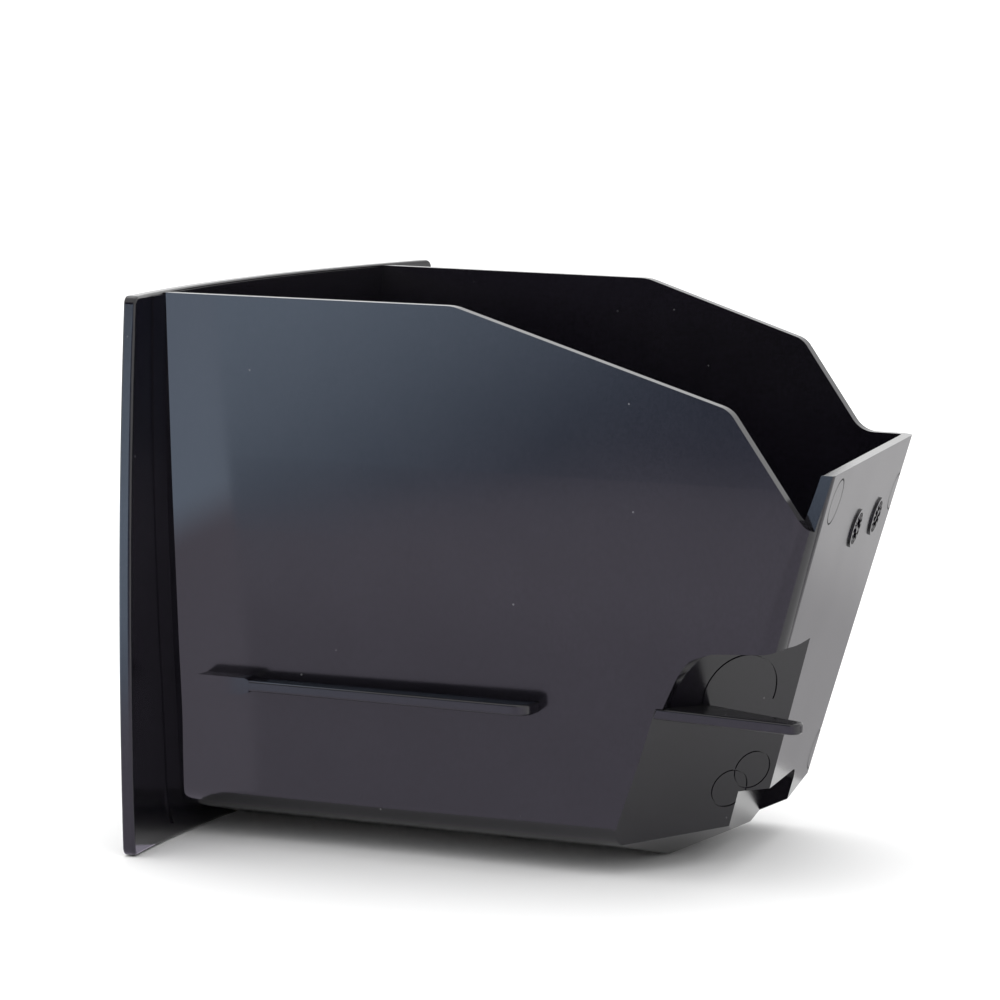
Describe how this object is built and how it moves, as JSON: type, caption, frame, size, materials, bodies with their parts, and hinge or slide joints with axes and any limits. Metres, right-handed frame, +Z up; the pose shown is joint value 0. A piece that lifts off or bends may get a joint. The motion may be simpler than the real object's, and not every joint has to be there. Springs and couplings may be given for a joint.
{
  "type": "coffee machine grounds container",
  "caption": "Open moulded tub behind a bowed front plate, with falling side walls, a slanted rear wall, guide rails and a cut-away rear corner with a ledge, for used coffee grounds.",
  "frame": {"origin": "middle of the overall length and width, on the plane that the plate's bottom edge and the flat strip under the floor stand on", "axes": "+X from the front plate to the rear wall, +Z up; +Y is the side away from the cut-away rear corner"},
  "size_m": [0.1488, 0.1272, 0.112],
  "materials": {
    "tub_plastic": "glossy black, fine moulded grain with light dust and scuffs"
  },
  "bodies": {
    "root": {"grounds_container": "tub_plastic"}
  },
  "joints": []
}
